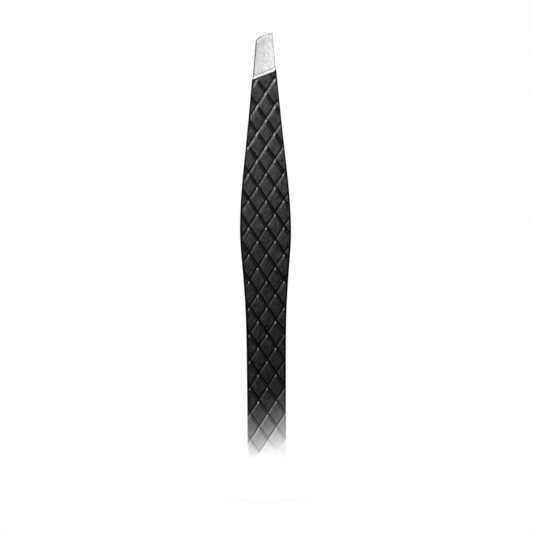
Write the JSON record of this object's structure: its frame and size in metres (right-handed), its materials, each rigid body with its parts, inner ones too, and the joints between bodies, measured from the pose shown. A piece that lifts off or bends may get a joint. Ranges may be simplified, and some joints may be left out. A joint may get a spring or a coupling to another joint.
{
  "type": "slant tweezers",
  "caption": "Slant-tip tweezers with two sprung steel blades welded at the heel and diamond-scaled grip skins, black fading to white at the heel.",
  "frame": {"origin": "centre of the flat end of the heel, on the plane between the two blades", "axes": "+Z from the heel to the tips, X across the width with +X towards the high corner of the slanted tip edge, Y through the thickness with the front blade on -Y"},
  "size_m": [0.0102, 0.0114, 0.095],
  "materials": {
    "steel": "fine ground grain, bare at the tips and on the inner faces",
    "grip_skin": "raised diamond scales, satin black, fading scale by scale to a plain white coat over the last 20 mm at the heel",
    "weld_metal": "fused, inside the heel and not seen"
  },
  "bodies": {
    "heel": {"front_blade_heel": "steel", "rear_blade_heel": "steel", "front_grip_skin_heel": "grip_skin", "rear_grip_skin_heel": "grip_skin", "spot_welds": "weld_metal"},
    "front_arm": {"front_blade": "steel", "front_grip_skin": "grip_skin"},
    "rear_arm": {"rear_blade": "steel", "rear_grip_skin": "grip_skin"}
  },
  "joints": [
    {"name": "front_arm_flex", "type": "hinge", "parent": "heel", "child": "front_arm", "pos_m": [0, -0.00107, 0.024], "axis": [-1, 0, 0], "range_deg": [0, 3], "stiffness_Nm_per_rad": 1.2},
    {"name": "rear_arm_flex", "type": "hinge", "parent": "heel", "child": "rear_arm", "pos_m": [0, 0.00107, 0.024], "axis": [1, 0, 0], "range_deg": [0, 3], "stiffness_Nm_per_rad": 1.2}
  ],
  "couplings": [
    {"joint": "rear_arm_flex", "follows": "front_arm_flex", "ratio": 1}
  ]
}
